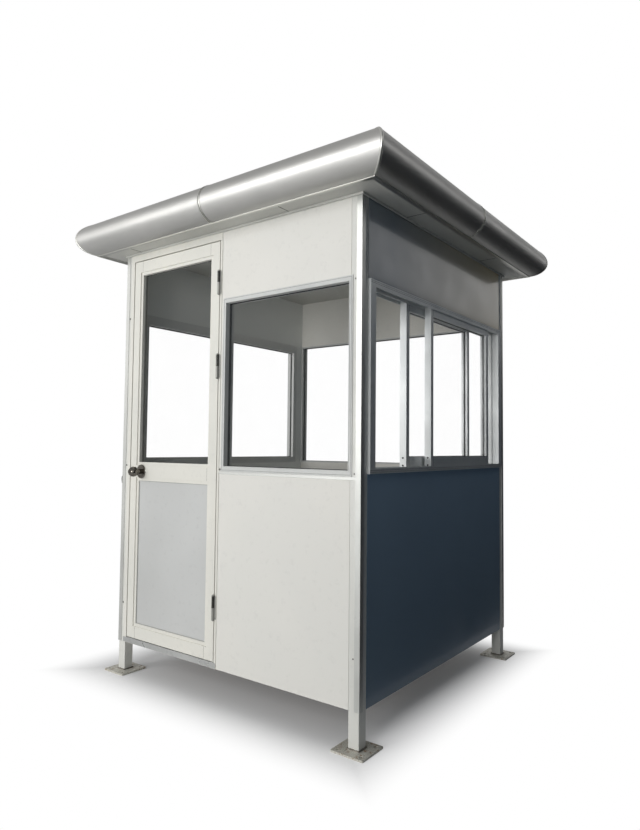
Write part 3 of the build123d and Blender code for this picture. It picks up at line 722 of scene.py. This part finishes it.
def add_weld(bm, low, high, phase):
    """A lumpy fillet round the foot of a square post."""
    corners = [
        Vector((low.x, low.y)),
        Vector((high.x, low.y)),
        Vector((high.x, high.y)),
        Vector((low.x, high.y)),
    ]
    path = [
        start.lerp(end, step / 10)
        for start, end in zip(corners, corners[1:] + corners[:1])
        for step in range(10)
    ]
    rows = []
    for i, point in enumerate(path):
        size = 0.0042 + 0.0008 * math.sin(2.4 * i + phase) + 0.0006 * math.sin(5.1 * i)
        out = Vector((point.x - (low.x + high.x) / 2, point.y - (low.y + high.y) / 2))
        out.normalize()
        row = []
        for k in range(WELD_STEPS + 1):
            angle = math.pi / 2 * k / WELD_STEPS
            spread = 1.4 * size * math.cos(angle)
            rise = size * math.sin(angle)
            place = (point.x + out.x * spread, point.y + out.y * spread, low.z + rise)
            row.append(bm.verts.new(place))
        rows.append(row)
    for first, second in zip(rows, rows[1:] + rows[:1]):
        for k in range(WELD_STEPS):
            bm.faces.new((first[k], second[k], second[k + 1], first[k + 1]))


# Weld beads where the legs meet their plates
WELD_STEPS = 5
for order, corner in enumerate(("front_left", "front_right", "back_left", "back_right")):
    bm = bmesh.new()
    add_weld(bm, *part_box(f"post_{corner}"), phase=5 + 3 * order)
    shade_smooth(add_piece(f"weld_{corner}", bm, WELD))

# Hinges: flat wings beside each barrel, wider at their ends, and a cap on
# each end of the barrel
HINGE_X, HINGE_Y = -0.0445, -0.758
WING_NEAR, WING_FAR, FLARE, FLARE_HIGH = 0.0035, 0.0115, 0.004, 0.007
WING_FRONT, FLARE_FRONT, WING_BACK = -0.7526, -0.7524, -0.7503
CAP = [(0.0062, -0.0018), (0.0066, 0.0), (0.0052, 0.002), (0.0028, 0.0042), (0.0012, 0.0048)]
for place in ("top", "middle", "bottom"):
    jamb_low, jamb_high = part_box(f"hinge_{place}_jamb_leaf")
    foot, head = jamb_low.z + 0.003, jamb_high.z - 0.003
    for body, owner, start, end, flare in (
        ("door", "door", HINGE_X - WING_FAR, HINGE_X - WING_NEAR, -FLARE),
        ("booth", "jamb", HINGE_X + WING_NEAR, HINGE_X + WING_FAR, FLARE),
    ):
        bm = bmesh.new()
        add_box(bm, (start, WING_FRONT, foot), (end, WING_BACK, head))
        flare_start, flare_end = sorted((start + flare, end))
        for bottom, top in ((foot, foot + FLARE_HIGH), (head - FLARE_HIGH, head)):
            add_box(bm, (flare_start, FLARE_FRONT, bottom), (flare_end, WING_BACK, top))
        add_piece(f"hinge_{place}_{owner}_wing", bm, WING, body, 0.0005)
    bm = bmesh.new()
    for cap_z, direction in ((jamb_low.z, DOWN), (jamb_high.z, UP)):
        add_lathe(bm, CAP, (HINGE_X, HINGE_Y, cap_z), direction, 18)
    add_piece(f"hinge_{place}_caps", bm, FINISHES["hinge_steel"], "booth")

# Knob: a plug in its outer face, with a keyhole
PLUG = [(0.0085, -0.001), (0.0085, 0.0012), (0.0075, 0.0018), (0.0062, 0.0018), (0.0060, 0.0010)]
knob_low, knob_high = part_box("door_knob")
knob_face = knob_low.y
knob_x, knob_z = (knob_low.x + knob_high.x) / 2, (knob_low.z + knob_high.z) / 2
bm = bmesh.new()
add_lathe(bm, PLUG, (knob_x, knob_face, knob_z), FRONT, 28)
add_piece("knob_plug", bm, FINISHES["knob_steel"], "knob")
# The keyhole is a dark box proud of the plug: painted shade of the key slot
bm = bmesh.new()
for half_wide, half_high, proud in ((0.0008, 0.004, 0.0013), (0.0018, 0.001, 0.0012)):
    add_box(
        bm,
        (knob_x - half_wide, knob_face - proud, knob_z - half_high),
        (knob_x + half_wide, knob_face, knob_z + half_high),
    )
add_piece("knob_keyhole_painted_shade", bm, RUBBER_AND_HOLE_SHADE, "knob")

# Raised ring round the lock's rose on each face of the door
ROSE = [(0.0352, 0.0), (0.0362, 0.0008), (0.0362, 0.002), (0.0352, 0.0028)]
bm = bmesh.new()
for rose_y, outward in ((door_face, FRONT), (leaf_high.y, BACK)):
    add_lathe(bm, ROSE, (knob_x, rose_y, knob_z), outward, 40)
add_piece("rose_ring", bm, SEAM_TRIM, "door")

# Latch plate on the door's lock edge
PLATE_HALF = 0.028
bm = bmesh.new()
add_box(
    bm,
    (leaf_low.x - 0.0006, door_face + 0.009, knob_z - PLATE_HALF),
    (leaf_low.x + 0.0004, door_face + 0.031, knob_z + PLATE_HALF),
)
add_piece("latch_plate", bm, SCREW, "door", 0.0003)


def add_tube(bm, path, radius, count):
    """A round bar along points that lie across the Y axis. Its first ring faces
    along X, flat against the post."""
    across = Vector((0, 1, 0))
    rows = []
    for i, point in enumerate(path):
        if i == 0:
            beside = Vector((0, 0, 1))
        else:
            ahead = Vector(path[min(i + 1, len(path) - 1)]) - Vector(path[i - 1])
            beside = ahead.normalized().cross(across)
        row = []
        for k in range(count):
            angle = 2 * math.pi * k / count
            offset = math.cos(angle) * across + math.sin(angle) * beside
            row.append(bm.verts.new(Vector(point) + radius * offset))
        rows.append(row)
    for first, second in zip(rows, rows[1:]):
        for k in range(count):
            following = (k + 1) % count
            bm.faces.new((first[k], first[following], second[following], second[k]))
    bm.faces.new(rows[0])
    bm.faces.new(rows[-1])


# Small bent hook beside the left wall's front corner
HOOK = [
    (-0.7505, -0.739, 1.006),
    (-0.762, -0.741, 1.003),
    (-0.766, -0.741, 0.990),
    (-0.763, -0.741, 0.972),
    (-0.756, -0.741, 0.955),
]
bm = bmesh.new()
add_tube(bm, HOOK, 0.0028, 10)
hook_piece = add_piece("wall_hook", bm, DARK_HINGE, "booth")
smooth = hook_piece.modifiers.new("smooth", "SUBSURF")
smooth.levels = smooth.render_levels = 2


# ------------------------------------------------------- floor, light, camera


def add_plane(name, corners, finish):
    """A four-cornered sheet of the studio, not a part of the booth."""
    mesh = bpy.data.meshes.new(name)
    mesh.from_pydata(corners, [], [(0, 1, 2, 3)])
    mesh.materials.append(finish.material)
    plane = bpy.data.objects.new(name, mesh)
    bpy.context.scene.collection.objects.link(plane)
    return plane


# Floor: pale paper that takes the booth's shadow near it and is plain white
# to the camera further out. FADE is how far from the middle it starts and ends.
FLOOR_REACH, FADE = 30.0, (0.7, 1.04)
floor_finish = Finish("studio_floor", specular=0.1)
floor_finish.shader.inputs["Roughness"].default_value = 0.8
floor_finish.shader.inputs["Base Color"].default_value = (0.9, 0.9, 0.9, 1.0)
floor_nodes, floor_links = floor_finish.nodes, floor_finish.links
paper = floor_nodes.new("ShaderNodeEmission")
rays = floor_nodes.new("ShaderNodeLightPath")
across = floor_finish.math("ABSOLUTE", floor_finish.math("ADD", floor_finish.coordinate("X"), 0.05))
along = floor_finish.math("ABSOLUTE", floor_finish.coordinate("Y"))
away = floor_finish.math("MAXIMUM", across, along)
fade = floor_finish.ramp(away, 0.05, 1.0, *FADE)
fade.node.interpolation_type = "SMOOTHSTEP"
blend = floor_nodes.new("ShaderNodeMixShader")
floor_links.new(
    floor_finish.math("MULTIPLY", fade, rays.outputs["Is Camera Ray"]), blend.inputs["Fac"]
)
floor_links.new(floor_finish.shader.outputs["BSDF"], blend.inputs[1])
floor_links.new(paper.outputs["Emission"], blend.inputs[2])
floor_links.new(blend.outputs["Shader"], floor_nodes["Material Output"].inputs["Surface"])
add_plane(
    "floor",
    [(x * FLOOR_REACH, y * FLOOR_REACH, 0) for x, y in ((-1, -1), (1, -1), (1, 1), (-1, 1))],
    floor_finish,
)


def card_finish(name, colour):
    finish = Finish(name, specular=0.1)
    finish.shader.inputs["Base Color"].default_value = (*colour, 1.0)
    finish.shader.inputs["Roughness"].default_value = 0.9
    return finish


def add_card(name, corners, finish, diffuse, glossy):
    """A dark card out of view, seen only by soft light or only in reflections."""
    card = add_plane(name, corners, finish)
    card.visible_camera = False
    card.visible_shadow = False
    card.visible_transmission = False
    card.visible_diffuse = diffuse
    card.visible_glossy = glossy


def side_corners(near_y, low_z, high_z):
    """A card that stands to the right of the booth."""
    x, far_y = 2.9, 60.0
    return [(x, near_y, low_z), (x, far_y, low_z), (x, far_y, high_z), (x, near_y, high_z)]


def floor_corners(near_x, near_y):
    """A card that lies on the floor to the right of the booth."""
    far_x, far_y, z = 9.0, 14.0, 0.01
    return [(near_x, near_y, z), (far_x, near_y, z), (far_x, far_y, z), (near_x, far_y, z)]


shade = card_finish("dark_card", (0.06, 0.08, 0.105))
mirrored = card_finish("mirror_card", (0.05, 0.062, 0.08))
add_card("side_shade", side_corners(-6.0, 0.0, 4.6), shade, True, False)
add_card("side_reflection_low", side_corners(-2.6, 0.0, 2.95), mirrored, False, True)
add_card("side_reflection_high", side_corners(-2.6, 3.9, 7.5), mirrored, False, True)
add_card("floor_shade", floor_corners(1.08, -4.0), shade, True, False)
add_card("floor_reflection", floor_corners(1.0, -3.0), mirrored, False, True)


def area_light(name, place, aim, size, power):
    """A rectangular lamp that faces a point; its power is in watts."""
    lamp = bpy.data.lights.new(name, "AREA")
    lamp.shape = "RECTANGLE"
    lamp.size, lamp.size_y = size
    lamp.energy = power
    holder = bpy.data.objects.new(name, lamp)
    holder.location = place
    holder.rotation_euler = (Vector(aim) - Vector(place)).to_track_quat("-Z", "Y").to_euler()
    bpy.context.scene.collection.objects.link(holder)


area_light("key", (-2.9, -6.2, 2.9), (0, 0, 1.1), (3.4, 3.4), 116)
area_light("front", (0.9, -7.2, 1.5), (0.3, 0, 1.0), (2.0, 2.2), 124)

# World: white to the camera and through glass, white low in reflections and
# darker overhead, and a soft fill for the rest
FILL = 0.42
world = bpy.data.worlds.new("studio")
bpy.context.scene.world = world
world.use_nodes = True
sky_nodes, sky_links = world.node_tree.nodes, world.node_tree.links
background = sky_nodes["Background"]
background.inputs["Color"].default_value = (1, 1, 1, 1)
rays = sky_nodes.new("ShaderNodeLightPath")
direction = sky_nodes.new("ShaderNodeSeparateXYZ")
sky_links.new(
    sky_nodes.new("ShaderNodeTexCoord").outputs["Generated"], direction.inputs["Vector"]
)
overhead = sky_nodes.new("ShaderNodeMapRange")
overhead.interpolation_type = "SMOOTHSTEP"
for socket, number in (("From Min", 0.15), ("From Max", 0.95), ("To Min", 1.0), ("To Max", 0.12)):
    overhead.inputs[socket].default_value = number
sky_links.new(direction.outputs["Z"], overhead.inputs["Value"])
is_camera, is_glossy, is_through = (
    rays.outputs[f"Is {kind} Ray"] for kind in ("Camera", "Glossy", "Transmission")
)
reflected = math_node(sky_nodes, sky_links, "MULTIPLY", is_glossy, overhead.outputs["Result"])
seen = math_node(sky_nodes, sky_links, "MAXIMUM", is_camera, is_through)
shown = math_node(sky_nodes, sky_links, "MAXIMUM", seen, reflected)
strength = math_node(sky_nodes, sky_links, "MAXIMUM", shown, FILL)
sky_links.new(strength, background.inputs["Strength"])

# Camera, where the photograph was taken from
SENSOR, FRAME_HIGH, FOCAL_PIXELS = 36.0, 830, 635.945
CAMERA_PLACE = (2.1037, -2.8268, 1.1646)
yaw, pitch, roll = math.radians(36.805), math.radians(2.891), math.radians(0.572)
camera = bpy.data.objects.new("camera", bpy.data.cameras.new("camera"))
bpy.context.scene.collection.objects.link(camera)
bpy.context.scene.camera = camera
camera.data.sensor_width = SENSOR
camera.data.lens = FOCAL_PIXELS * SENSOR / FRAME_HIGH
forward = Vector(
    (-math.sin(yaw) * math.cos(pitch), math.cos(yaw) * math.cos(pitch), math.sin(pitch))
)
level = Vector((math.cos(yaw), math.sin(yaw), 0))
upright = level.cross(forward)
right = math.cos(roll) * level + math.sin(roll) * upright
up = -math.sin(roll) * level + math.cos(roll) * upright
turn = Matrix((right, up, -forward)).transposed()
camera.matrix_world = Matrix.Translation(CAMERA_PLACE) @ turn.to_4x4()

bpy.context.scene.view_settings.view_transform = "Standard"
